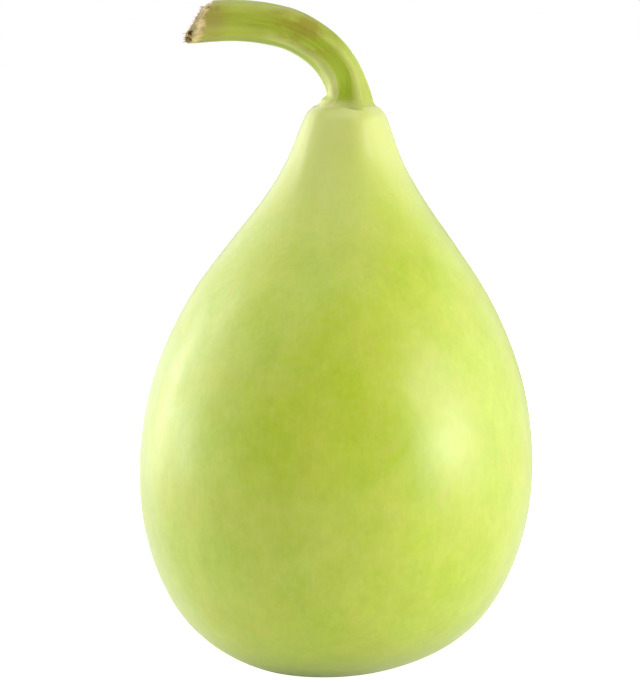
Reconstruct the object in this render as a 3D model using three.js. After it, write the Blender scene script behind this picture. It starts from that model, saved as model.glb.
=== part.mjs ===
// A pear-shaped bottle gourd, as picked. The fruit stands upright on the flattened ring round its blossom scar,
// and its ridged green stem rises from a narrow shoulder, bends over to the left and ends in a slanting, dried cut.
// Millimetres, +Z up. The front of the gourd faces -Y, the stem bends towards -X, and the origin is on the
// surface that it stands on, under the middle of the fruit's widest part.
import * as THREE from 'three';

// Fruit: the outline from the blossom scar to the flat top that the stem grows from, as [radius, height].
const scarDepth = 1.4;
const scarRadius = 5.5;
const footRadius = 15;
const topRadius = 10.6;
const fruitHeight = 186.2;
const fruitOutline = [
  [footRadius, 0],
  [22.5, 1.3],
  [32.8, 5.2],
  [42.4, 11],
  [51, 19.4],
  [57.8, 31.1],
  [62.5, 44.9],
  [64.8, 59.7],
  [64.8, 75.2],
  [62, 92.7],
  [56.3, 109.7],
  [47.8, 126.3],
  [36.9, 141.7],
  [26.9, 155.3],
  [19.5, 167.7],
  [15.3, 178.3],
  [13.2, 183.7],
  [12.2, 185.5],
  [topRadius, fruitHeight],
];
const fruitSides = 60;
const fruitRows = 44;

// The fruit leans a little to the right and its neck a little more, its foot is pulled to the left,
// and it is not quite round.
const leanPerMm = 0.018;
const leanStart = -1.2;
const neckShift = 0.75;
const neckShiftFrom = 125;
const neckShiftTo = 162;
const footPull = 3.2;
const footPullHeight = 6;
const nodForward = 0.012;
const widestHeight = 67;
const depthRatio = 0.985;

// Ribs on the neck, in line with the ridges of the stem, that fade out down the fruit.
const ribCount = 5;
const ribTurn = -0.22;
const neckRibShare = 0.034;
const neckRibFade = 24;

// Stem: its centre line from the fruit's top to the cut end, as [x, y, z].
const stemLine = [
  [3.9, 0.6, fruitHeight],
  [3.9, 0.5, 190.1],
  [2.8, 0.2, 194.4],
  [0.9, -0.2, 198.5],
  [-2.5, -0.8, 203.1],
  [-7.6, -1.5, 207.5],
  [-14.7, -2.6, 211.4],
  [-23.4, -4.1, 213.6],
  [-31.8, -6, 214.5],
  [-39.4, -8.2, 214.4],
  [-46.1, -10.6, 213.9],
];
const stemRadius = 6.6;
const stemWaist = 0.15;
const stemWaistFrom = 24;
const stemWaistTo = 38;
const stemFlare = 3.3;
const stemFlareHeight = 2.6;
const stemRootLength = 6;
const stemRidgeShare = 0.075;
const stemRidgeAtEnd = 0.035;
const stemTwist = 0.3;
const stemTwistLength = 14;
const stemSides = 40;
const stemRows = 30;

// Cut end: a slanting, slightly bowed cut with a shrunken rim, a hollow pith and a torn flap on its lower side.
// It is turned so far that it faces left, past the viewer of the front.
const cutSlant = 0.66;
const cutTurn = 0.3;
const cutBow = 0.9;
const cutSlantLength = 9;
const cutShoulder = 0.15;
const cutShoulderLength = 8;
const cutFlap = 0.6;
const cutFlapWidth = 0.5;
const cutFlapLength = 3;
const cutRim = 1.3;
const pithDepth = 1.6;

const skinMaterial = new THREE.MeshStandardMaterial({ color: 0xb4c74a, roughness: 0.42, metalness: 0 });
const stemMaterial = new THREE.MeshStandardMaterial({ color: 0x97a83c, roughness: 0.6, metalness: 0 });

function smoothStep(from, to, value) {
  return THREE.MathUtils.smoothstep(value, from, to);
}

// Turns a profile of [radius, height] into a closed solid of revolution about Z.
function turnedSolid(profile, sides) {
  const points = profile.map(([radius, height]) => new THREE.Vector2(radius, height));
  return new THREE.LatheGeometry(points, sides).rotateX(Math.PI / 2);
}

// Moves every vertex of a geometry by a formula that takes and changes its point.
function reshape(geometry, move) {
  const position = geometry.getAttribute('position');
  const point = new THREE.Vector3();
  for (let i = 0; i < position.count; i++) {
    point.fromBufferAttribute(position, i);
    move(point);
    position.setXYZ(i, point.x, point.y, point.z);
  }
  geometry.computeVertexNormals();
  return geometry;
}

// How far a ridge stands out at an angle: 1 on its crest and -1 in the groove between two.
function ridgeWave(angle) {
  return Math.cos(ribCount * (angle - Math.PI / 2 - ribTurn));
}

// The fruit's skin bends from a plain turned form to the leaning, slightly ribbed one.
function shapeFruit(point) {
  const height = point.z;
  const neckShare = Math.exp(-(fruitHeight - height) / neckRibFade) * neckRibShare;
  const rib = 1 + neckShare * ridgeWave(Math.atan2(point.y, point.x));
  const lean = leanStart + leanPerMm * height + neckShift * smoothStep(neckShiftFrom, neckShiftTo, height);
  point.x = point.x * rib + lean - footPull * Math.exp(-height / footPullHeight);
  point.y = point.y * rib * depthRatio + nodForward * (height - widestHeight);
}

function makeFruit() {
  const side = new THREE.SplineCurve(fruitOutline.map(([radius, height]) => new THREE.Vector2(radius, height)));
  const skin = side.getSpacedPoints(fruitRows).map((p) => [p.x, p.y]);
  skin[0] = [footRadius, 0];
  skin[fruitRows] = [topRadius, fruitHeight];
  const scar = [
    [0, scarDepth],
    [scarRadius * 0.45, scarDepth * 0.9],
    [scarRadius * 0.8, scarDepth * 0.3],
    [scarRadius, 0],
  ];
  const profile = [...scar, ...skin, [0, fruitHeight]];
  return reshape(turnedSolid(profile, fruitSides), shapeFruit);
}

const upright = new THREE.Vector3(0, 0, 1);
const stemCurve = new THREE.CatmullRomCurve3(stemLine.map((p) => new THREE.Vector3(...p)));
const stemLength = stemCurve.getLength();

// The round form of the straightened stem at a distance along it: wide at the root, slimmer up the bend.
function stemRadiusAt(along) {
  const slimmer = stemWaist * (1 - smoothStep(stemWaistFrom, stemWaistTo, along));
  return stemRadius - slimmer + stemFlare * Math.exp(-along / stemFlareHeight);
}

// Bends the straight stem along its curve: a point's height becomes its distance along the curve.
function shapeStem(point) {
  const along = point.z;
  const share = THREE.MathUtils.clamp(along / stemLength, 0, 1);
  const toCut = stemLength - along;
  const angle = Math.atan2(point.y, point.x);
  const turned = angle + stemTwist * smoothStep(0, stemTwistLength, along);
  const ridge = THREE.MathUtils.lerp(stemRidgeShare, stemRidgeAtEnd, share);
  const drawnIn = cutShoulder * smoothStep(-cutShoulderLength, 0, -toCut) * Math.max(0, Math.cos(turned));
  const reach = Math.hypot(point.x, point.y) * (1 + ridge * ridgeWave(angle) - drawnIn);
  const sideways = reach * Math.cos(turned);
  const deep = reach * Math.sin(turned);

  const tangent = stemCurve.getTangentAt(share);
  tangent.lerp(upright, 1 - smoothStep(0, stemRootLength, along)).normalize();
  const back = new THREE.Vector3(0, 1, 0).addScaledVector(tangent, -tangent.y).normalize();
  const outer = new THREE.Vector3().crossVectors(back, tangent);

  const slant = -cutSlant * sideways - cutTurn * deep - cutBow * (sideways / stemRadius) ** 2;
  const flapAngle = Math.atan2(deep, -sideways) / cutFlapWidth;
  const flap = cutFlap * Math.exp(-flapAngle * flapAngle) * (reach / stemRadius);
  const slip = slant * smoothStep(-cutSlantLength, 0, -toCut) + flap * smoothStep(-cutFlapLength, 0, -toCut);

  stemCurve.getPointAt(share, point);
  point.addScaledVector(outer, sideways).addScaledVector(back, deep).addScaledVector(tangent, slip);
}

function makeStem() {
  const side = [];
  for (let row = 0; row <= stemRows; row++) {
    const along = ((stemLength - cutRim) * row) / stemRows;
    side.push([stemRadiusAt(along), along]);
  }
  const endRadius = stemRadiusAt(stemLength);
  const cut = [
    [endRadius * 0.93, stemLength - cutRim * 0.35],
    [endRadius * 0.78, stemLength],
    [endRadius * 0.56, stemLength - pithDepth * 0.25],
    [endRadius * 0.3, stemLength - pithDepth * 0.85],
    [0, stemLength - pithDepth],
  ];
  const profile = [[0, 0], ...side, ...cut];
  return reshape(turnedSolid(profile, stemSides), shapeStem);
}

const gourd = new THREE.Group();

const fruit = new THREE.Mesh(makeFruit(), skinMaterial);
fruit.name = 'fruit';
gourd.add(fruit);

const stem = new THREE.Mesh(makeStem(), stemMaterial);
stem.name = 'stem';
gourd.add(stem);

export default gourd;
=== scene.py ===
import math
import random

import bmesh
import bpy
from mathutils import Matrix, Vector, noise


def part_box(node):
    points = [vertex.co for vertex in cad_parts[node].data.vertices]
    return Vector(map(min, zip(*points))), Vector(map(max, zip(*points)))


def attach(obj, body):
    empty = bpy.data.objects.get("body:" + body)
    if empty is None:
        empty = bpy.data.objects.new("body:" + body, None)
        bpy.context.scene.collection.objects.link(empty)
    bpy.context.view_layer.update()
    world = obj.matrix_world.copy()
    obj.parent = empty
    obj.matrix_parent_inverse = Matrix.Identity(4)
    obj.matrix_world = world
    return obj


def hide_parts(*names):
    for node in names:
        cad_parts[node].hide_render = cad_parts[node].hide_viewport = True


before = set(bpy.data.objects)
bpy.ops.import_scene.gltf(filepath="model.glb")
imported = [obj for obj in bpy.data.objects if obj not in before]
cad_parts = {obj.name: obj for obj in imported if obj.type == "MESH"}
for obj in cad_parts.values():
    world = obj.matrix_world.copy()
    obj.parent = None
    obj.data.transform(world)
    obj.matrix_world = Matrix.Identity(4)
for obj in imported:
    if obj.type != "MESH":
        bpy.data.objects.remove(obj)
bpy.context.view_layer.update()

# A pear-shaped bottle gourd on a white table. Forms are worked out in millimetres and finished in metres.
mm = 0.001
upright = Vector((0, 0, 1))
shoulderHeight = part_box("fruit")[1].z / mm


# Camera, far away and a little raised, so that the gourd fills the picture as in the photo
cameraSet = {
    "lens": 200,
    "sensor": 36,
    "seenHeight": 224.3,     # mm, from the top to the bottom of the picture at the gourd
    "aim": (-5.2, 0, 109.1),
    "raised": 7,             # degrees above the table
}


def makeCamera():
    data = bpy.data.cameras.new("camera")
    data.lens = cameraSet["lens"]
    data.sensor_width = cameraSet["sensor"]
    data.clip_start = 0.05
    data.clip_end = 30
    camera = bpy.data.objects.new("camera", data)
    bpy.context.scene.collection.objects.link(camera)
    away = cameraSet["lens"] * cameraSet["seenHeight"] / cameraSet["sensor"]
    raised = math.radians(cameraSet["raised"])
    back = Vector((0, -math.cos(raised), math.sin(raised)))
    camera.location = (Vector(cameraSet["aim"]) + back * away) * mm
    camera.rotation_mode = "QUATERNION"
    camera.rotation_quaternion = (-back).to_track_quat("-Z", "Y")
    bpy.context.scene.camera = camera


makeCamera()
print("camera done")


# Curves and easing
def ease(start, end, value):
    share = min(max((value - start) / (end - start), 0), 1)
    return share * share * (3 - 2 * share)


def splinePoint(points, place):
    # a smooth curve through the points, at a place from 0 to 1
    last = len(points) - 1
    span = min(int(place * last), last - 1)
    t = place * last - span
    a, b, c, d = (points[min(max(span + step, 0), last)] for step in (-1, 0, 1, 2))
    slopeIn, slopeOut = (c - a) * 0.5, (d - b) * 0.5
    cubic = (b - c) * 2 + slopeIn + slopeOut
    square = (c - b) * 3 - slopeIn * 2 - slopeOut
    return cubic * t**3 + square * t**2 + slopeIn * t + b


class Trail:
    # a curve that is read by the distance gone along it
    def __init__(self, points, fineness=900):
        self.marks = [splinePoint(points, i / fineness) for i in range(fineness + 1)]
        self.gone = [0.0]
        for here, there in zip(self.marks, self.marks[1:]):
            self.gone.append(self.gone[-1] + (there - here).length)
        self.length = self.gone[-1]

    def at(self, distance):
        distance = min(max(distance, 0), self.length)
        low, high = 0, len(self.gone) - 1
        while high - low > 1:
            middle = (low + high) // 2
            if self.gone[middle] <= distance:
                low = middle
            else:
                high = middle
        share = (distance - self.gone[low]) / (self.gone[high] - self.gone[low])
        return self.marks[low].lerp(self.marks[high], share)

    def heading(self, distance, reach=0.4):
        middle = min(max(distance, reach), self.length - reach)
        return (self.at(middle + reach) - self.at(middle - reach)).normalized()


# Mesh helpers
def spin(form, profile, sides):
    # spins a line of (radius, height) round the upright axis into a closed body, and gives its vertices
    before = set(form.verts)
    line = [form.verts.new((radius, 0, height)) for radius, height in profile]
    edges = [form.edges.new(pair) for pair in zip(line, line[1:])]
    bmesh.ops.spin(
        form, geom=line + edges, axis=upright, cent=(0, 0, 0), angle=2 * math.pi, steps=sides, use_merge=True
    )
    bmesh.ops.remove_doubles(form, verts=[vert for vert in form.verts if vert not in before], dist=1e-4)
    return [vert for vert in form.verts if vert not in before]


def finishPiece(form, name, material, subdivisions):
    # millimetres become metres, normals point out, and the piece is placed in its mesh
    bmesh.ops.remove_doubles(form, verts=form.verts, dist=1e-4)
    bmesh.ops.recalc_face_normals(form, faces=form.faces)
    bmesh.ops.scale(form, vec=(mm, mm, mm), verts=form.verts)
    for face in form.faces:
        face.smooth = True
    mesh = bpy.data.meshes.new(name)
    form.to_mesh(mesh)
    form.free()
    piece = bpy.data.objects.new(name, mesh)
    bpy.context.scene.collection.objects.link(piece)
    mesh.materials.append(material)
    if subdivisions:
        smooth = piece.modifiers.new("subdivision", "SUBSURF")
        smooth.levels = subdivisions
        smooth.render_levels = subdivisions
    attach(piece, "root")
    return piece


# Node helpers
def paint(red, green, blue):
    # a screen colour, 0 to 255, as a linear one
    def linear(value):
        value /= 255
        return value / 12.92 if value <= 0.04045 else ((value + 0.055) / 1.055) ** 2.4
    return (linear(red), linear(green), linear(blue), 1)


def addNode(tree, kind, settings=None, inputs=None):
    node = tree.nodes.new(kind)
    for name, value in (settings or {}).items():
        setattr(node, name, value)
    for name, value in (inputs or {}).items():
        if isinstance(value, bpy.types.NodeSocket):
            tree.links.new(value, node.inputs[name])
        else:
            node.inputs[name].default_value = value
    return node


def sums(tree, operation, first, second):
    node = addNode(tree, "ShaderNodeMath", {"operation": operation})
    for socket, value in zip(node.inputs, (first, second)):
        if isinstance(value, bpy.types.NodeSocket):
            tree.links.new(value, socket)
        else:
            socket.default_value = value
    return node.outputs[0]


def blendColours(tree, share, first, second):
    node = addNode(tree, "ShaderNodeMix", {"data_type": "RGBA"})
    for index, value in ((0, share), (6, first), (7, second)):
        if isinstance(value, bpy.types.NodeSocket):
            tree.links.new(value, node.inputs[index])
        else:
            node.inputs[index].default_value = value
    return node.outputs[2]


def spread(tree, value, low, high, newLow=0.0, newHigh=1.0):
    # stretches the stretch from low to high over the new one, eased at both ends
    node = addNode(
        tree, "ShaderNodeMapRange", {"interpolation_type": "SMOOTHSTEP"},
        {"Value": value, "From Min": low, "From Max": high, "To Min": newLow, "To Max": newHigh},
    )
    return node.outputs["Result"]


def newGroup(name, inputs, outputs):
    tree = bpy.data.node_groups.new(name, "ShaderNodeTree")
    for socket, kind, value in inputs:
        made = tree.interface.new_socket(name=socket, in_out="INPUT", socket_type=kind)
        if value is not None:
            made.default_value = value
    for socket, kind in outputs:
        tree.interface.new_socket(name=socket, in_out="OUTPUT", socket_type=kind)
    return tree, addNode(tree, "NodeGroupInput").outputs, addNode(tree, "NodeGroupOutput").inputs


def useGroup(tree, group, inputs):
    return addNode(tree, "ShaderNodeGroup", {"node_tree": group}, inputs).outputs


def newMaterial(name):
    material = bpy.data.materials.new(name)
    material.use_nodes = True
    tree = material.node_tree
    return material, tree, tree.nodes["Principled BSDF"]


def addRelief(tree, shader, height, strength, depth):
    # fine relief that only shades the surface, its depth in metres
    bump = addNode(tree, "ShaderNodeBump", inputs={"Strength": strength, "Distance": depth, "Height": height})
    tree.links.new(bump.outputs["Normal"], shader.inputs["Normal"])


# Effects that the skin, the stem and the dried ends share
def makeBlotches():
    # soft patches of a given size in metres, drawn out along Z
    tree, given, result = newGroup(
        "soft blotches",
        [("Vector", "NodeSocketVector", None), ("Size", "NodeSocketFloat", 0.01),
         ("Drawn Out", "NodeSocketFloat", 1.5), ("Contrast", "NodeSocketFloat", 0.2)],
        [("Mask", "NodeSocketFloat")],
    )
    flatter = addNode(tree, "ShaderNodeCombineXYZ", inputs={"X": 1.0, "Y": 1.0})
    tree.links.new(sums(tree, "DIVIDE", 1.0, given["Drawn Out"]), flatter.inputs["Z"])
    drawn = addNode(tree, "ShaderNodeVectorMath", {"operation": "MULTIPLY"})
    tree.links.new(given["Vector"], drawn.inputs[0])
    tree.links.new(flatter.outputs[0], drawn.inputs[1])
    cloud = addNode(
        tree, "ShaderNodeTexNoise", inputs={"Vector": drawn.outputs[0], "Detail": 4.0, "Roughness": 0.55}
    )
    tree.links.new(sums(tree, "DIVIDE", 1.0, given["Size"]), cloud.inputs["Scale"])
    low = sums(tree, "SUBTRACT", 0.5, given["Contrast"])
    high = sums(tree, "ADD", 0.5, given["Contrast"])
    tree.links.new(spread(tree, cloud.outputs["Fac"], low, high), result["Mask"])
    return tree


def makePores():
    # tiny pale flecks over a skin, and the height of its fine grain
    tree, given, result = newGroup(
        "pores and grain",
        [("Vector", "NodeSocketVector", None), ("Spacing", "NodeSocketFloat", 0.002)],
        [("Flecks", "NodeSocketFloat"), ("Height", "NodeSocketFloat")],
    )
    many = sums(tree, "DIVIDE", 1.0, given["Spacing"])
    cells = addNode(tree, "ShaderNodeTexVoronoi", inputs={"Vector": given["Vector"], "Randomness": 1.0})
    tree.links.new(many, cells.inputs["Scale"])
    flecks = spread(tree, cells.outputs["Distance"], 0.10, 0.28, 1.0, 0.0)
    grain = addNode(
        tree, "ShaderNodeTexNoise", inputs={"Vector": given["Vector"], "Detail": 3.0, "Roughness": 0.6}
    )
    tree.links.new(sums(tree, "MULTIPLY", many, 1.7), grain.inputs["Scale"])
    tree.links.new(flecks, result["Flecks"])
    dimples = sums(tree, "MULTIPLY", flecks, -0.35)
    tree.links.new(sums(tree, "ADD", grain.outputs["Fac"], dimples), result["Height"])
    return tree


def makeDryTissue():
    # dried plant tissue: tan to dark brown fibres
    tree, given, result = newGroup(
        "dry tissue",
        [("Vector", "NodeSocketVector", None), ("Darkness", "NodeSocketFloat", 0.3)],
        [("Color", "NodeSocketColor"), ("Height", "NodeSocketFloat")],
    )
    fibres = addNode(
        tree, "ShaderNodeTexNoise",
        inputs={"Vector": given["Vector"], "Scale": 900.0, "Detail": 5.0, "Roughness": 0.65},
    )
    patches = addNode(
        tree, "ShaderNodeTexNoise", inputs={"Vector": given["Vector"], "Scale": 330.0, "Detail": 2.0}
    )
    pale = spread(tree, fibres.outputs["Fac"], 0.3, 0.7)
    tan = blendColours(tree, pale, paint(188, 156, 98), paint(230, 208, 146))
    burnt = sums(tree, "ADD", patches.outputs["Fac"], sums(tree, "SUBTRACT", given["Darkness"], 0.5))
    colour = blendColours(tree, spread(tree, burnt, 0.42, 0.66), tan, paint(96, 62, 22))
    tree.links.new(colour, result["Color"])
    tree.links.new(fibres.outputs["Fac"], result["Height"])
    return tree


blotches = makeBlotches()
pores = makePores()
dryTissue = makeDryTissue()
print("shared effects done")


def blotchMask(tree, place, size, drawnOut, softness):
    given = {"Vector": place, "Size": size, "Drawn Out": drawnOut, "Contrast": softness}
    return useGroup(tree, blotches, given)["Mask"]


# Skin of the fruit
skinSet = {
    "green": paint(187, 210, 16),
    "neck": paint(214, 220, 122),
    "neckFrom": 0.135,       # metres above the table, where the skin starts to pale towards the stem
    "neckShare": 0.85,
    # painted shade: the skin is painted a darker green towards the foot, for the shade under the fruit
    "footShade": paint(160, 180, 8),
    "footShadeTo": 0.018,         # metres above the table, where the painted shade at the foot ends
    "footShadeShare": 0.4,
    # colour, size of its patches in metres, how far they are drawn out, softness and share
    "layers": [
        (paint(168, 194, 10), 0.026, 1.6, 0.20, 0.50),
        (paint(207, 220, 80), 0.010, 1.3, 0.18, 0.40),
        (paint(164, 190, 12), 0.0046, 1.4, 0.16, 0.25),
        (paint(212, 222, 108), 0.0021, 1.2, 0.16, 0.16),
        (paint(154, 184, 14), 0.0011, 9.0, 0.16, 0.10),
        (paint(218, 202, 72), 0.0190, 1.0, 0.10, 0.14),
    ],
    "blush": paint(226, 178, 104),
    "blushSize": 0.0082,
    "blushShare": 0.14,
    "fleck": paint(212, 218, 120),
    "fleckSpacing": 0.0021,
    "fleckShare": 0.12,
    "smoother": 0.36,        # roughness where the wax lies thick, and where it is worn
    "rougher": 0.48,
    "wax": 0.5,              # strength of the waxy coat, and where it is rubbed off at the foot
    "rubbedWax": 0.05,
    "rubbed": (0.002, 0.03),    # metres above the table, from where it is rubbed off to where it is whole
}


def makeSkin():
    material, tree, shader = newMaterial("gourd skin")
    place = addNode(tree, "ShaderNodeTexCoord").outputs["Object"]
    skin = useGroup(tree, pores, {"Vector": place, "Spacing": skinSet["fleckSpacing"]})
    colour = skinSet["green"]
    for tint, size, drawnOut, softness, share in skinSet["layers"]:
        patches = blotchMask(tree, place, size, drawnOut, softness)
        colour = blendColours(tree, sums(tree, "MULTIPLY", patches, share), colour, tint)
    rare = blotchMask(tree, place, skinSet["blushSize"], 1.1, 0.35)
    blush = spread(tree, rare, 0.70, 0.92, 0.0, skinSet["blushShare"])
    colour = blendColours(tree, blush, colour, skinSet["blush"])
    flecks = sums(tree, "MULTIPLY", skin["Flecks"], skinSet["fleckShare"])
    colour = blendColours(tree, flecks, colour, skinSet["fleck"])
    height = addNode(tree, "ShaderNodeSeparateXYZ", inputs={"Vector": place}).outputs["Z"]
    towardsStem = spread(tree, height, skinSet["neckFrom"], shoulderHeight * mm, 0.0, skinSet["neckShare"])
    colour = blendColours(tree, towardsStem, colour, skinSet["neck"])
    # painted shade: a darker green towards the foot, where shade falls under the fruit
    footShadeMask = spread(tree, height, 0.0, skinSet["footShadeTo"], skinSet["footShadeShare"], 0.0)
    colour = blendColours(tree, footShadeMask, colour, skinSet["footShade"])
    tree.links.new(colour, shader.inputs["Base Color"])
    # the last layer's yellow patches are also where the wax is worn
    worn = spread(tree, patches, 0.0, 1.0, skinSet["smoother"], skinSet["rougher"])
    tree.links.new(worn, shader.inputs["Roughness"])
    wax = spread(tree, height, *skinSet["rubbed"], skinSet["rubbedWax"], skinSet["wax"])
    tree.links.new(wax, shader.inputs["Coat Weight"])
    addRelief(tree, shader, skin["Height"], 0.12, 0.0002)
    shader.inputs["Subsurface Weight"].default_value = 0.12
    shader.inputs["Subsurface Radius"].default_value = (1.0, 1.2, 0.3)
    shader.inputs["Subsurface Scale"].default_value = 0.003
    shader.inputs["Coat Roughness"].default_value = 0.3
    # the downy bloom that makes the sides paler
    shader.inputs["Sheen Weight"].default_value = 0.35
    shader.inputs["Sheen Roughness"].default_value = 0.5
    return material


# Fruit: the same outline and bend as the frame's solid, as (radius, height) in millimetres
fruitSet = {
    "foot": 15,
    "top": 10.6,
    "outline": [
        (15, 0), (22.5, 1.3), (32.8, 5.2), (42.4, 11), (51, 19.4), (57.8, 31.1), (62.5, 44.9), (64.8, 59.7),
        (64.8, 75.2), (62, 92.7), (56.3, 109.7), (47.8, 126.3), (36.9, 141.7), (26.9, 155.3), (19.5, 167.7),
        (15.3, 178.3), (13.2, 183.7), (12.2, 185.5), (10.6, 186.2),
    ],
    "topSwell": [(0.7, 0.12), (1.4, 0.4), (2.2, 0.6), (5, 0.6), (10.6, 0.6)],
    "rows": 62,
    "sides": 80,
    "scarRadius": 5.5,
    "scarDepth": 1.4,
    "leanStart": -1.2,
    "leanPerMm": 0.018,
    "neckShift": 0.75,
    "neckShiftFrom": 125,
    "neckShiftTo": 162,
    "footPull": 3.2,
    "footPullHeight": 6,
    "nodForward": 0.012,
    "widest": 67,
    "depthRatio": 0.985,
    "ribs": 5,
    "ribTurn": -0.22,
    "ribShare": 0.034,
    "ribFade": 24,
    "unevenness": 0.3,       # mm that the skin dips at most
    "unevenSize": 24,
}


def ridgeWave(angle):
    return math.cos(fruitSet["ribs"] * (angle - math.pi / 2 - fruitSet["ribTurn"]))


def fruitPlace(x, y, height):
    # where a point of the straight turned form goes on the leaning, faintly ribbed fruit
    neckShare = math.exp(-(shoulderHeight - height) / fruitSet["ribFade"]) * fruitSet["ribShare"]
    rib = 1 + neckShare * ridgeWave(math.atan2(y, x))
    lean = fruitSet["leanStart"] + fruitSet["leanPerMm"] * height
    lean += fruitSet["neckShift"] * ease(fruitSet["neckShiftFrom"], fruitSet["neckShiftTo"], height)
    lean -= fruitSet["footPull"] * math.exp(-height / fruitSet["footPullHeight"])
    nod = fruitSet["nodForward"] * (height - fruitSet["widest"])
    return Vector((x * rib + lean, y * rib * fruitSet["depthRatio"] + nod, height))


def makeFruit(material):
    side = Trail([Vector((radius, 0, height)) for radius, height in fruitSet["outline"]])
    skin = [side.at(side.length * row / fruitSet["rows"]) for row in range(fruitSet["rows"] + 1)]
    scar = [(share * fruitSet["scarRadius"], fruitSet["scarDepth"] * math.cos(share * math.pi / 2) ** 0.7)
            for share in (0, 0.2, 0.4, 0.6, 0.75, 0.9)]
    ring = [(fruitSet["scarRadius"], 0), (fruitSet["scarRadius"] + 0.8, 0), (fruitSet["foot"] - 4, 0)]
    # the top swells a little towards the stem's root, which hides its middle
    top = [(fruitSet["top"] - inward, shoulderHeight + rise) for inward, rise in fruitSet["topSwell"]]
    form = bmesh.new()
    spin(form, scar + ring + [(point.x, point.z) for point in skin] + top, fruitSet["sides"])
    bmesh.ops.recalc_face_normals(form, faces=form.faces)
    form.normal_update()
    dips = {}
    for vert in form.verts:
        free = ease(1.5, 18, vert.co.z) * ease(shoulderHeight, shoulderHeight - 6, vert.co.z)
        swell = 0.5 + 0.5 * noise.noise(vert.co / fruitSet["unevenSize"] + Vector((3.1, 0.4, 1.7)))
        dips[vert] = vert.normal * (fruitSet["unevenness"] * free * swell)
    for vert in form.verts:
        vert.co = fruitPlace(*(vert.co - dips[vert]))
    return finishPiece(form, "gourd_fruit", material, 2)


gourdFruit = makeFruit(makeSkin())
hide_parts("fruit")
print("fruit done")


# Blossom scar: a corky button in the recess underneath, in millimetres
scarSet = {
    "profile": [
        (0, 1.9), (2.6, 1.7), (3.7, 1.1), (3.4, 0.75), (2.5, 0.6), (1.7, 0.85), (1.0, 0.55), (0.5, 0.5),
        (0, 0.7),
    ],
    "sides": 36,
    "crumple": 0.25,
    "crumpleSize": 0.9,
    "darkness": 0.45,
}


def makeCork(name, darkness):
    material, tree, shader = newMaterial(name)
    place = addNode(tree, "ShaderNodeTexCoord").outputs["Object"]
    dry = useGroup(tree, dryTissue, {"Vector": place, "Darkness": darkness})
    tree.links.new(dry["Color"], shader.inputs["Base Color"])
    addRelief(tree, shader, dry["Height"], 0.5, 0.0002)
    shader.inputs["Roughness"].default_value = 0.85
    return material


def makeScar(material):
    form = bmesh.new()
    # one steady noise for each axis, because noise_vector differs from run to run
    offsets = [Vector((4.2, 1.7, 8.1)), Vector((9.3, 5.6, 2.4)), Vector((1.8, 7.5, 6.2))]
    for vert in spin(form, scarSet["profile"], scarSet["sides"]):
        place = vert.co / scarSet["crumpleSize"]
        jolt = Vector([noise.noise(place + offset) for offset in offsets])
        vert.co = fruitPlace(*(vert.co + jolt * scarSet["crumple"]))
    return finishPiece(form, "gourd_blossom_scar", material, 1)


makeScar(makeCork("blossom scar", scarSet["darkness"]))
print("blossom scar done")


# Stem: the same centre line, ridges and slanting cut as the frame's solid, in millimetres
stemSet = {
    "line": [
        (3.9, 0.6, shoulderHeight), (3.9, 0.5, 190.1), (2.8, 0.2, 194.4), (0.9, -0.2, 198.5),
        (-2.5, -0.8, 203.1), (-7.6, -1.5, 207.5), (-14.7, -2.6, 211.4), (-23.4, -4.1, 213.6),
        (-31.8, -6, 214.5), (-39.4, -8.2, 214.4), (-46.1, -10.6, 213.9),
    ],
    "radius": 6.57,
    "waist": 0.15,
    "waistFrom": 24,
    "waistTo": 38,
    "flare": 3.3,
    "flareHeight": 2.6,
    "fillet": 0.12,          # mm that the root's lowest edge is drawn out over the shoulder
    "filletHeight": 0.6,
    # how far the root's foot is drawn to the left, on its left and on its right side,
    # and the heights where that is whole and where it has faded
    "footLeft": (0.9, 2.2, 4),
    "footRight": (1.0, 0, 3),
    # old bract on the left of the root: height, size, how far it stands out, half width in radians
    "knob": (2.7, 0.7, 0.7, 0.5),
    "rootLength": 6,
    "ridgeShare": 0.075,
    "ridgeAtEnd": 0.035,
    "twist": 0.3,
    "twistLength": 14,
    "sides": 110,
    "rows": 76,
    "rowsAtCut": 24,
    "sunk": 0.8,             # mm that the root is sunk in the shoulder
}
cutSet = {
    "slant": 0.66,
    "turn": 0.3,
    "bow": 0.9,
    "slantLength": 9,
    "shoulder": 0.15,
    "shoulderLength": 8,
    "flap": 0.6,
    "flapWidth": 0.5,
    "flapLength": 3,
    "rim": 1.3,
    "pithDepth": 1.6,
    "lip": 0.9,              # mm that the cut bulges out a little above its lower end
    "lipPlace": 0.5,         # shares of the radius: how far below the middle that is, and its half width
    "lipWidth": 0.28,
    "driedLength": 5.3,
    "driedLower": 0.5,       # mm that the dried band reaches farther on the stem's lower side
    "driedTop": 3.0,         # and farther along its top edge
    "frayed": 1.8,           # mm from the cut that are frayed
    # pits that broke open in the shrunken rim, painted dark: the brown of dried tissue with painted shade
    # inside:
    # angle, distance from the cut, half width in radians, half length and depth
    "pits": [
        (-2.40, 0.8, 0.20, 0.7, 1.3),
        (-3.00, 0.7, 0.34, 1.1, 1.5),
        (0.60, 0.9, 0.16, 0.9, 0.8),
        (1.75, 0.7, 0.22, 0.8, 0.9),
    ],
}
stemTrail = Trail([Vector(point) for point in stemSet["line"]])


def stemRadius(along):
    slimmer = stemSet["waist"] * (1 - ease(stemSet["waistFrom"], stemSet["waistTo"], along))
    height = max(along, 0)
    wider = stemSet["flare"] * math.exp(-height / stemSet["flareHeight"])
    wider += stemSet["fillet"] * math.exp(-height / stemSet["filletHeight"])
    return stemSet["radius"] - slimmer + wider


def knobAt(angle, along):
    # how far the old bract stands out of the root, with a sharp step under it and a long slope above
    height, size, deepest, halfWidth = stemSet["knob"]
    turn = math.remainder(angle - math.pi, 2 * math.pi) / halfWidth
    slope = size * (1.2 if along > height else 0.8)
    return deepest * math.exp(-turn * turn - ((along - height) / slope) ** 2)


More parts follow.
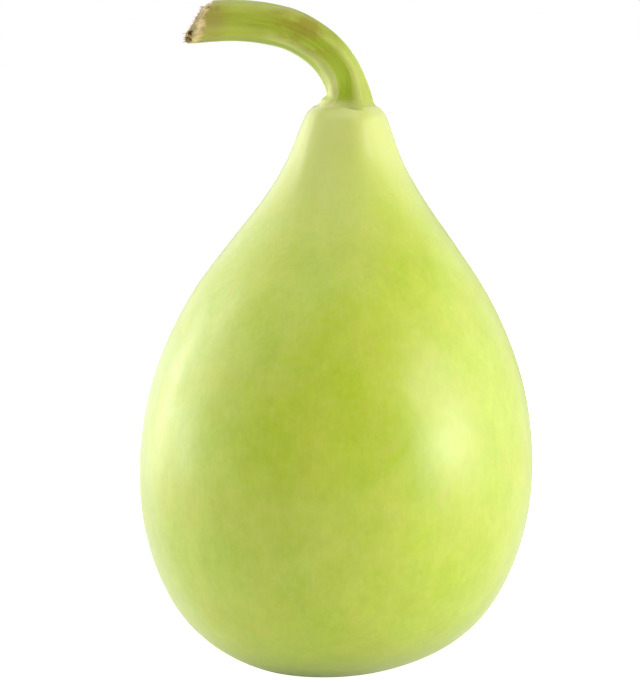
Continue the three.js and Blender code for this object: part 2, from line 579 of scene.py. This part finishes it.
def footShift(angle, along):
    # how far a point of the root's foot is drawn to the left
    farthest, whole, faded = stemSet["footLeft"] if math.cos(angle) < 0 else stemSet["footRight"]
    return farthest * ease(faded, whole, along) * math.cos(angle) ** 2


def stemTurn(along):
    return stemSet["twist"] * ease(0, stemSet["twistLength"], along)


def stemPlace(x, y, along):
    # where a point of the straight stem goes on the bent one
    share = min(max(along / stemTrail.length, 0), 1)
    toCut = stemTrail.length - along
    angle = math.atan2(y, x)
    around = angle + stemTurn(along)
    ridge = stemSet["ridgeShare"] + (stemSet["ridgeAtEnd"] - stemSet["ridgeShare"]) * share
    drawnIn = cutSet["shoulder"] * ease(cutSet["shoulderLength"], 0, toCut) * max(0, math.cos(around))
    reach = math.hypot(x, y) * (1 + ridge * ridgeWave(angle) - drawnIn)
    sideways = reach * math.cos(around)
    deep = reach * math.sin(around)
    heading = stemTrail.heading(along).lerp(upright, 1 - ease(0, stemSet["rootLength"], along)).normalized()
    back = (Vector((0, 1, 0)) - heading * heading.y).normalized()
    outer = back.cross(heading)
    slant = -cutSet["slant"] * sideways - cutSet["turn"] * deep
    slant -= cutSet["bow"] * (sideways / stemSet["radius"]) ** 2
    flapAngle = math.atan2(deep, -sideways) / cutSet["flapWidth"]
    flap = cutSet["flap"] * math.exp(-flapAngle * flapAngle) * reach / stemSet["radius"]
    lipNearness = (sideways / stemSet["radius"] + cutSet["lipPlace"]) / cutSet["lipWidth"]
    flap += cutSet["lip"] * math.exp(-lipNearness**2)
    slip = slant * ease(cutSet["slantLength"], 0, toCut) + flap * ease(cutSet["flapLength"], 0, toCut)
    beyond = min(along, 0) + max(-toCut, 0)
    return stemTrail.at(along) + outer * sideways + back * deep + heading * (slip + beyond)


def stemProfile():
    # (radius, distance along) from the sunk root to the middle of the hollow pith
    length, end, sunk = stemTrail.length, stemRadius(stemTrail.length), stemSet["sunk"]
    fine = length - cutSet["driedLength"] - cutSet["driedLower"]
    closer = (length - cutSet["rim"] - fine) / stemSet["rowsAtCut"]
    side = [fine * row / stemSet["rows"] for row in range(stemSet["rows"])]
    side += [fine + closer * row for row in range(stemSet["rowsAtCut"] + 1)]
    root = [(0, -sunk), (stemRadius(0) - 1.2, -sunk), (stemRadius(0) - 0.1, -sunk / 2)]
    # the rim and the hollow of the cut, by their shares of the stem's radius
    innerRim = 0.78
    rim = [(0.97, -0.9), (0.93, -0.45), (0.86, -0.15), (innerRim, 0)]
    hollow = [0.72, 0.66, 0.6, 0.53, 0.45, 0.37, 0.28, 0.2, 0.1, 0]
    profile = root + [(stemRadius(along), along) for along in side]
    profile += [(end * share, length + rise) for share, rise in rim]
    for share in hollow:
        profile.append((end * share, length - cutSet["pithDepth"] * (1 - (share / innerRim) ** 2)))
    return profile


def pitAt(angle, toCut):
    # how deep the pits of the dried rim are at a place, and how dark they are painted: the brown of dried
    # tissue, with painted shade in the pits
    depth, darkness = 0.0, 0.0
    jagged = noise.noise(Vector((math.cos(angle) * 9, math.sin(angle) * 9, toCut * 1.5)))
    for pitAngle, pitPlace, halfWidth, halfLength, deepest in cutSet["pits"]:
        turn = math.remainder(angle - pitAngle, 2 * math.pi) / halfWidth
        nearness = math.exp(-turn * turn - ((toCut - pitPlace) / halfLength) ** 2) * (1 + 0.7 * jagged)
        depth = max(depth, deepest * ease(0.25, 0.8, nearness))
        darkness = max(darkness, ease(0.3, 0.6, nearness))
    return depth, darkness


def shrink(x, y, along):
    # the dried end is shrunken, pitted and frayed:
    # gives a point's new radius, its new place along the stem, and how dark it is painted there: the brown of
    # dried tissue, with painted shade in the pits
    radius, angle, toCut = math.hypot(x, y), math.atan2(y, x), stemTrail.length - along
    rough = noise.noise(Vector((x, y, along * 0.4)) * 0.9)
    fine = noise.noise(Vector((x, y, along * 0.2)) * 2.6 + Vector((7, 2, 5)))
    radius *= 1 - ease(cutSet["driedLength"], 0, toCut) * (0.02 + 0.03 * rough + 0.015 * fine)
    depth, darkness = 0.0, 0.0
    if radius > 0.6 * stemRadius(stemTrail.length):
        depth, darkness = pitAt(angle, toCut)
    along += ease(cutSet["frayed"], 0, toCut) * (0.45 * rough + 0.3 * fine - 0.25)
    return radius - depth, along, darkness


def makeStem(material):
    length, end = stemTrail.length, stemRadius(stemTrail.length)
    form = bmesh.new()
    spin(form, stemProfile(), stemSet["sides"])
    straight = form.verts.layers.float_vector.new("straight")
    layers = {name: form.verts.layers.float.new(name) for name in ("ridge", "outer", "dried", "inner")}
    for vert in form.verts:
        x, y, along = vert.co
        radius, angle, toCut = math.hypot(x, y), math.atan2(y, x), length - along
        outward = math.cos(angle + stemTurn(along))
        vert[straight] = vert.co * mm
        vert[layers["ridge"]] = ridgeWave(angle)
        vert[layers["outer"]] = outward
        shorter = cutSet["driedLower"] * outward - cutSet["driedTop"] * ease(0.86, 1, outward)
        vert[layers["dried"]] = ease(cutSet["driedLength"], 1.5, toCut + shorter)
        # the pith's hollow is painted dark, partly the brown of dried pith and partly painted shade
        if toCut < cutSet["pithDepth"] + 0.1:
            vert[layers["inner"]] = ease(0.9 * end, 0.55 * end, radius)
        if toCut < cutSet["driedLength"] and radius > 0.3:
            radius, along, darkness = shrink(x, y, along)
            # the pits are painted dark as well, brown tissue with painted shade in them
            vert[layers["inner"]] = max(vert[layers["inner"]], darkness)
            x, y = radius * math.cos(angle), radius * math.sin(angle)
        if 0 < along < 10:
            larger = 1 + knobAt(angle, along) / radius
            x, y = x * larger, y * larger
        vert.co = stemPlace(x - footShift(angle, along), y, along)
    return finishPiece(form, "gourd_stem", material, 1)


stemPaint = {
    "groove": paint(158, 182, 0),
    "crest": paint(186, 194, 86),
    "crestInside": paint(216, 221, 132),
    "grooveFar": paint(150, 163, 6),
    "crestFar": paint(170, 180, 62),
    "streak": paint(200, 208, 100),
    "olive": paint(146, 132, 0),
    "nearCut": paint(150, 106, 72),
    "root": paint(188, 194, 100),
    "rootInside": paint(226, 225, 152),
    # dark brown for the pith's hollow and the pits: the dried tissue's colour with painted shade in them
    "hollow": paint(116, 94, 4),
    "cutEdge": paint(240, 226, 168),
    "streakShare": 0.18,
    "bandShare": 0.3,
    "oliveShare": 0.68,
    "oliveEverywhere": 0.10,
    "dryingShare": 0.42,
    "hollowShare": 0.55,
    "cutEdgeShare": 0.4,
}
# where the colours change, in metres along the stem from its root
stemZones = {
    "root": (0.0, 0.0035),
    "paleSides": (0.022, 0.012),
    "farther": (0.010, 0.034),
    "paleInside": (0.034, 0.048),
    "bendStarts": (0.016, 0.028),
    "bendEnds": (0.052, 0.032),
    "drying": (0.052, 0.060),
    "browning": (0.055, 0.061),
}


def stemZone(tree, along, name):
    return spread(tree, along, *stemZones[name])


def stemGreens(tree, along, ridge, outer, rightHalf):
    # pale crests and green grooves, more olive farther along, except for the pale ridge inside the bend
    broader = sums(tree, "MULTIPLY", spread(tree, outer, -0.2, -0.7), 0.4)
    crest = spread(tree, sums(tree, "ADD", ridge, broader), -0.35, 0.75)
    notInside = sums(tree, "MAXIMUM", spread(tree, outer, -0.75, -0.2), stemZone(tree, along, "paleInside"))
    notInside = spread(tree, notInside, 0.0, 1.0, 0.2, 1.0)
    farther = sums(tree, "MULTIPLY", stemZone(tree, along, "farther"), notInside)
    crestNear = blendColours(tree, rightHalf, stemPaint["crestInside"], stemPaint["crest"])
    crestColour = blendColours(tree, farther, crestNear, stemPaint["crestFar"])
    grooveColour = blendColours(tree, farther, stemPaint["groove"], stemPaint["grooveFar"])
    # near the root only the grooves at the front and back are green
    paleSides = spread(tree, sums(tree, "ABSOLUTE", outer, 0.0), 0.6, 0.9, 0.0, 0.85)
    paleSides = sums(tree, "MULTIPLY", paleSides, stemZone(tree, along, "paleSides"))
    return blendColours(tree, sums(tree, "MAXIMUM", crest, paleSides), grooveColour, crestColour)


def oliveMottles(tree, along, outer, patches):
    # mostly where the stem bends over, and where its upper side dries out towards the cut
    bend = sums(tree, "MULTIPLY", stemZone(tree, along, "bendStarts"), stemZone(tree, along, "bendEnds"))
    bend = sums(tree, "MULTIPLY", bend, spread(tree, outer, -0.75, -0.2))
    drying = sums(tree, "MULTIPLY", stemZone(tree, along, "drying"), spread(tree, outer, -0.3, 0.5))
    most = sums(tree, "MULTIPLY", sums(tree, "MAXIMUM", bend, drying), stemPaint["oliveShare"])
    mottles = sums(tree, "MULTIPLY", patches, sums(tree, "ADD", most, stemPaint["oliveEverywhere"]))
    return sums(tree, "MAXIMUM", mottles, sums(tree, "MULTIPLY", drying, stemPaint["dryingShare"]))


def driedEnd(tree, straight, dried, inner, patches):
    # colour of the dried band and the cut, where they take over from the green, and their relief; the pith's
    # hollow and the pits are painted dark brown, the dried tissue's colour with painted shade in them
    dry = useGroup(tree, dryTissue, {"Vector": straight, "Darkness": 0.48})
    dark = useGroup(tree, dryTissue, {"Vector": straight, "Darkness": 0.8})
    hollow = blendColours(tree, stemPaint["hollowShare"], dark["Color"], stemPaint["hollow"])
    paler = spread(tree, dried, 0.7, 1.0, 0.0, stemPaint["cutEdgeShare"])
    colour = blendColours(tree, paler, dry["Color"], stemPaint["cutEdge"])
    # painted shade in the pith's hollow and the pits, over the dried tissue's brown
    colour = blendColours(tree, inner, colour, hollow)
    uneven = sums(tree, "MULTIPLY", sums(tree, "SUBTRACT", patches, 0.5), 0.3)
    share = spread(tree, sums(tree, "ADD", dried, uneven), 0.35, 0.8)
    return colour, share, sums(tree, "MULTIPLY", dry["Height"], share)


def makeStemSkin():
    material, tree, shader = newMaterial("stem skin")
    straight = addNode(tree, "ShaderNodeAttribute", {"attribute_name": "straight"}).outputs["Vector"]
    ridge, outer, dried, inner = (
        addNode(tree, "ShaderNodeAttribute", {"attribute_name": name}).outputs["Fac"]
        for name in ("ridge", "outer", "dried", "inner")
    )
    along = addNode(tree, "ShaderNodeSeparateXYZ", inputs={"Vector": straight}).outputs["Z"]
    rightHalf = spread(tree, outer, -0.6, 0.3)
    streaks = blotchMask(tree, straight, 0.0009, 16.0, 0.2)
    bands = blotchMask(tree, straight, 0.0035, 7.0, 0.2)
    patches = blotchMask(tree, straight, 0.005, 1.8, 0.12)
    grain = useGroup(tree, pores, {"Vector": straight, "Spacing": 0.0012})
    colour = stemGreens(tree, along, ridge, outer, rightHalf)
    streaked = sums(tree, "MULTIPLY", streaks, stemPaint["streakShare"])
    colour = blendColours(tree, streaked, colour, stemPaint["streak"])
    banded = sums(tree, "MULTIPLY", bands, stemPaint["bandShare"])
    colour = blendColours(tree, banded, colour, stemPaint["groove"])
    colour = blendColours(tree, oliveMottles(tree, along, outer, patches), colour, stemPaint["olive"])
    # the lower side is browner near the cut, and the root is pale
    lowerSide = spread(tree, outer, 0.7, 0.0, 0.1, 0.34)
    browning = sums(tree, "MULTIPLY", stemZone(tree, along, "browning"), lowerSide)
    colour = blendColours(tree, browning, colour, stemPaint["nearCut"])
    rootColour = blendColours(tree, rightHalf, stemPaint["rootInside"], stemPaint["root"])
    atRoot = spread(tree, along, *stemZones["root"], 0.8, 0.0)
    colour = blendColours(tree, atRoot, colour, rootColour)
    dryColour, dryShare, dryRelief = driedEnd(tree, straight, dried, inner, patches)
    tree.links.new(blendColours(tree, dryShare, colour, dryColour), shader.inputs["Base Color"])
    tree.links.new(spread(tree, dryShare, 0.0, 1.0, 0.5, 0.85), shader.inputs["Roughness"])
    streakRelief = sums(tree, "MULTIPLY", streaks, 0.7)
    grainRelief = sums(tree, "MULTIPLY", grain["Height"], 0.3)
    relief = sums(tree, "ADD", sums(tree, "ADD", streakRelief, grainRelief), dryRelief)
    addRelief(tree, shader, relief, 0.45, 0.0003)
    shader.inputs["Subsurface Weight"].default_value = 0.1
    shader.inputs["Subsurface Radius"].default_value = (1.0, 1.2, 0.3)
    shader.inputs["Subsurface Scale"].default_value = 0.0015
    shader.inputs["Coat Weight"].default_value = 0.05
    shader.inputs["Coat Roughness"].default_value = 0.4
    return material


gourdStem = makeStem(makeStemSkin())
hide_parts("stem")
print("stem done")


# Torn fibres round the cut, in millimetres
fibreSet = {
    "count": 64,
    "sides": 5,
    "shortest": 0.1,
    "longest": 1.3,
    "thickness": 0.10,
    "rooted": 0.9,           # mm of each that is sunk in the rim
    "rootedAt": (0.74, 0.88),   # shares of the stem's radius
    "flare": 0.6,            # mm that the tips bend outward at most
    "flares": (-0.8, 1),     # shares of it, inward to outward
    "lean": 0.18,            # radians that the tips lean sideways at most
    "darkness": 0.12,
}


def makeFibres(material):
    form = bmesh.new()
    length, end = stemTrail.length, stemRadius(stemTrail.length)
    picker = random.Random(11)
    for number in range(fibreSet["count"]):
        angle = 2 * math.pi * (number + picker.uniform(-0.4, 0.4)) / fibreSet["count"]
        darkness = pitAt(angle, 0.2)[1]
        if darkness > 0.3:
            continue         # none grows over a pit
        reach = end * picker.uniform(*fibreSet["rootedAt"])
        longer = (fibreSet["longest"] - fibreSet["shortest"]) * picker.random() ** 2
        tall = fibreSet["rooted"] + fibreSet["shortest"] + longer
        bend = picker.uniform(*fibreSet["flares"]) * fibreSet["flare"]
        lean = picker.uniform(-fibreSet["lean"], fibreSet["lean"])
        wide = fibreSet["thickness"] * picker.uniform(0.7, 1.3)
        side = [(wide * (1 - share**2) + 0.02, tall * share) for share in (0, 0.25, 0.5, 0.75, 0.95)]
        for vert in spin(form, [(0, 0)] + side + [(0, tall)], fibreSet["sides"]):
            share = vert.co.z / tall
            out = reach + vert.co.x + bend * share**2
            turn = angle + vert.co.y / reach + lean * share
            along = length - fibreSet["rooted"] + vert.co.z
            vert.co = stemPlace(out * math.cos(turn), out * math.sin(turn), along)
    return finishPiece(form, "gourd_cut_fibres", material, 0)


makeFibres(makeCork("torn fibres", fibreSet["darkness"]))
print("fibres done")


# Table, light and background
studioSet = {
    "tableRadius": 4.0,
    "tableGlow": 0.10,
    "tableSeen": 0.90,       # what the camera sees of the table beyond its glow
    "around": 0.16,
    "aim": (0, 0, 0.1),      # metres, where every soft box points
    # bearing, how far raised, distance, size and glow of each soft box
    "lights": [
        ("right core", 74, 5, 0.85, (0.27, 0.30), 7.7),
        ("right box", 60, 8, 0.9, (0.42, 0.9), 4.2),
        ("right side", 98, 8, 0.9, (0.5, 0.9), 1.3),
        ("right back", 132, 8, 0.9, (0.7, 0.9), 0.7),
        ("left core", -124, 5, 0.85, (0.14, 0.5), 6.2),
        ("left box", -100, 8, 0.9, (0.42, 0.9), 2.6),
        ("left low", -100, -2, 0.9, (0.42, 0.35), 1.3),
        ("left side", -72, 8, 0.9, (0.42, 0.9), 1.0),
        ("left back", -146, 8, 0.9, (0.5, 0.9), 1.2),
        ("high back", 180, 45, 0.95, (0.6, 0.6), 1.5),
        ("high left", -110, 45, 0.95, (0.6, 0.6), 1.7),
        ("high front left", -50, 45, 0.95, (0.6, 0.6), 0.85),
        ("top", 0, 82, 1.1, (0.9, 0.9), 1.4),
    ],
}


def makeTable():
    form = bmesh.new()
    bmesh.ops.create_circle(form, cap_ends=True, segments=96, radius=studioSet["tableRadius"])
    mesh = bpy.data.meshes.new("table")
    form.to_mesh(mesh)
    form.free()
    table = bpy.data.objects.new("table", mesh)
    bpy.context.scene.collection.objects.link(table)
    material, tree, shader = newMaterial("white table")
    shader.inputs["Base Color"].default_value = (0.8, 0.8, 0.8, 1)
    shader.inputs["Roughness"].default_value = 0.9
    shader.inputs["Emission Color"].default_value = (1, 1, 1, 1)
    seen = addNode(tree, "ShaderNodeLightPath").outputs["Is Camera Ray"]
    seenGlow = sums(tree, "MULTIPLY", seen, studioSet["tableSeen"])
    tree.links.new(sums(tree, "ADD", seenGlow, studioSet["tableGlow"]), shader.inputs["Emission Strength"])
    mesh.materials.append(material)


def softBox(name, bearing, raised, away, size, glow):
    # the bearing is in degrees to the right of the camera's side of the gourd
    turn, rise = math.radians(bearing), math.radians(raised)
    level = math.cos(rise)
    towards = Vector((math.sin(turn) * level, -math.cos(turn) * level, math.sin(rise)))
    data = bpy.data.lights.new(name, "AREA")
    data.shape = "RECTANGLE"
    data.size, data.size_y = size
    data.energy = glow * math.pi * size[0] * size[1]
    light = bpy.data.objects.new(name, data)
    bpy.context.scene.collection.objects.link(light)
    light.location = Vector(studioSet["aim"]) + towards * away
    light.rotation_mode = "QUATERNION"
    light.rotation_quaternion = (-towards).to_track_quat("-Z", "Y")


def makeStudio():
    makeTable()
    for light in studioSet["lights"]:
        softBox(*light)
    world = bpy.data.worlds.new("white room")
    bpy.context.scene.world = world
    world.use_nodes = True
    tree = world.node_tree
    around = tree.nodes["Background"]
    around.inputs["Color"].default_value = (1, 1, 1, 1)
    around.inputs["Strength"].default_value = studioSet["around"]
    seen = addNode(tree, "ShaderNodeBackground", inputs={"Color": (1, 1, 1, 1), "Strength": 1.0})
    choose = addNode(tree, "ShaderNodeMixShader")
    tree.links.new(addNode(tree, "ShaderNodeLightPath").outputs["Is Camera Ray"], choose.inputs[0])
    tree.links.new(around.outputs[0], choose.inputs[1])
    tree.links.new(seen.outputs[0], choose.inputs[2])
    tree.links.new(choose.outputs[0], tree.nodes["World Output"].inputs["Surface"])
    bpy.context.scene.view_settings.view_transform = "Standard"
    bpy.context.scene.view_settings.look = "None"


makeStudio()
print("studio done")
